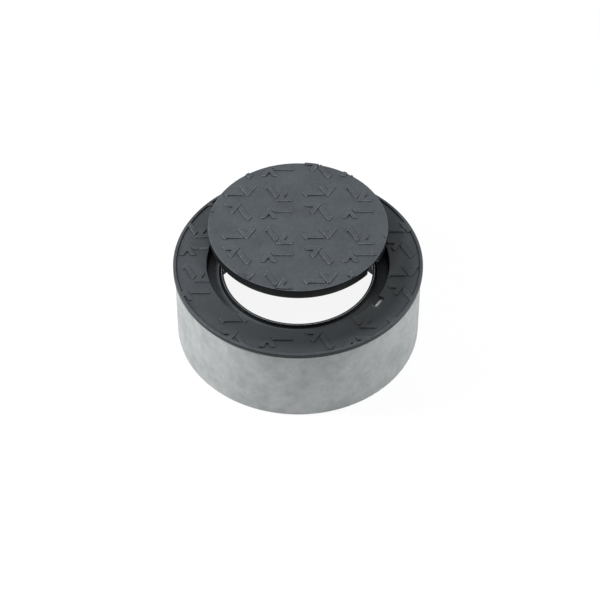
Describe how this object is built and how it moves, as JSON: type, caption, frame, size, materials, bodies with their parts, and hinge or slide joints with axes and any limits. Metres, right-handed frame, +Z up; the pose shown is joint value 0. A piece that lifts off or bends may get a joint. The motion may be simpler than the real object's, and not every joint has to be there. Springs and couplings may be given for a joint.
{
  "type": "concrete manhole cover",
  "caption": "Round manhole top: concrete ring with a cast iron frame bedded in it and a loose ribbed cast iron lid with raised anti-slip tread, slid part way off the opening.",
  "frame": {"origin": "on the ring's axis at floor level, in the mouth of the shaft bore", "axes": "+Z up along the ring's axis, +Y the way the lid has been slid"},
  "size_m": [0.4999, 0.5109, 0.209],
  "materials": {
    "concrete": "precast concrete, smooth from the mould",
    "frame_iron": "sand cast, dark coated",
    "lid_iron": "sand cast, dark coated"
  },
  "bodies": {
    "root": {"concrete_ring": "concrete", "frame": "frame_iron", "lid": "lid_iron"}
  },
  "joints": []
}
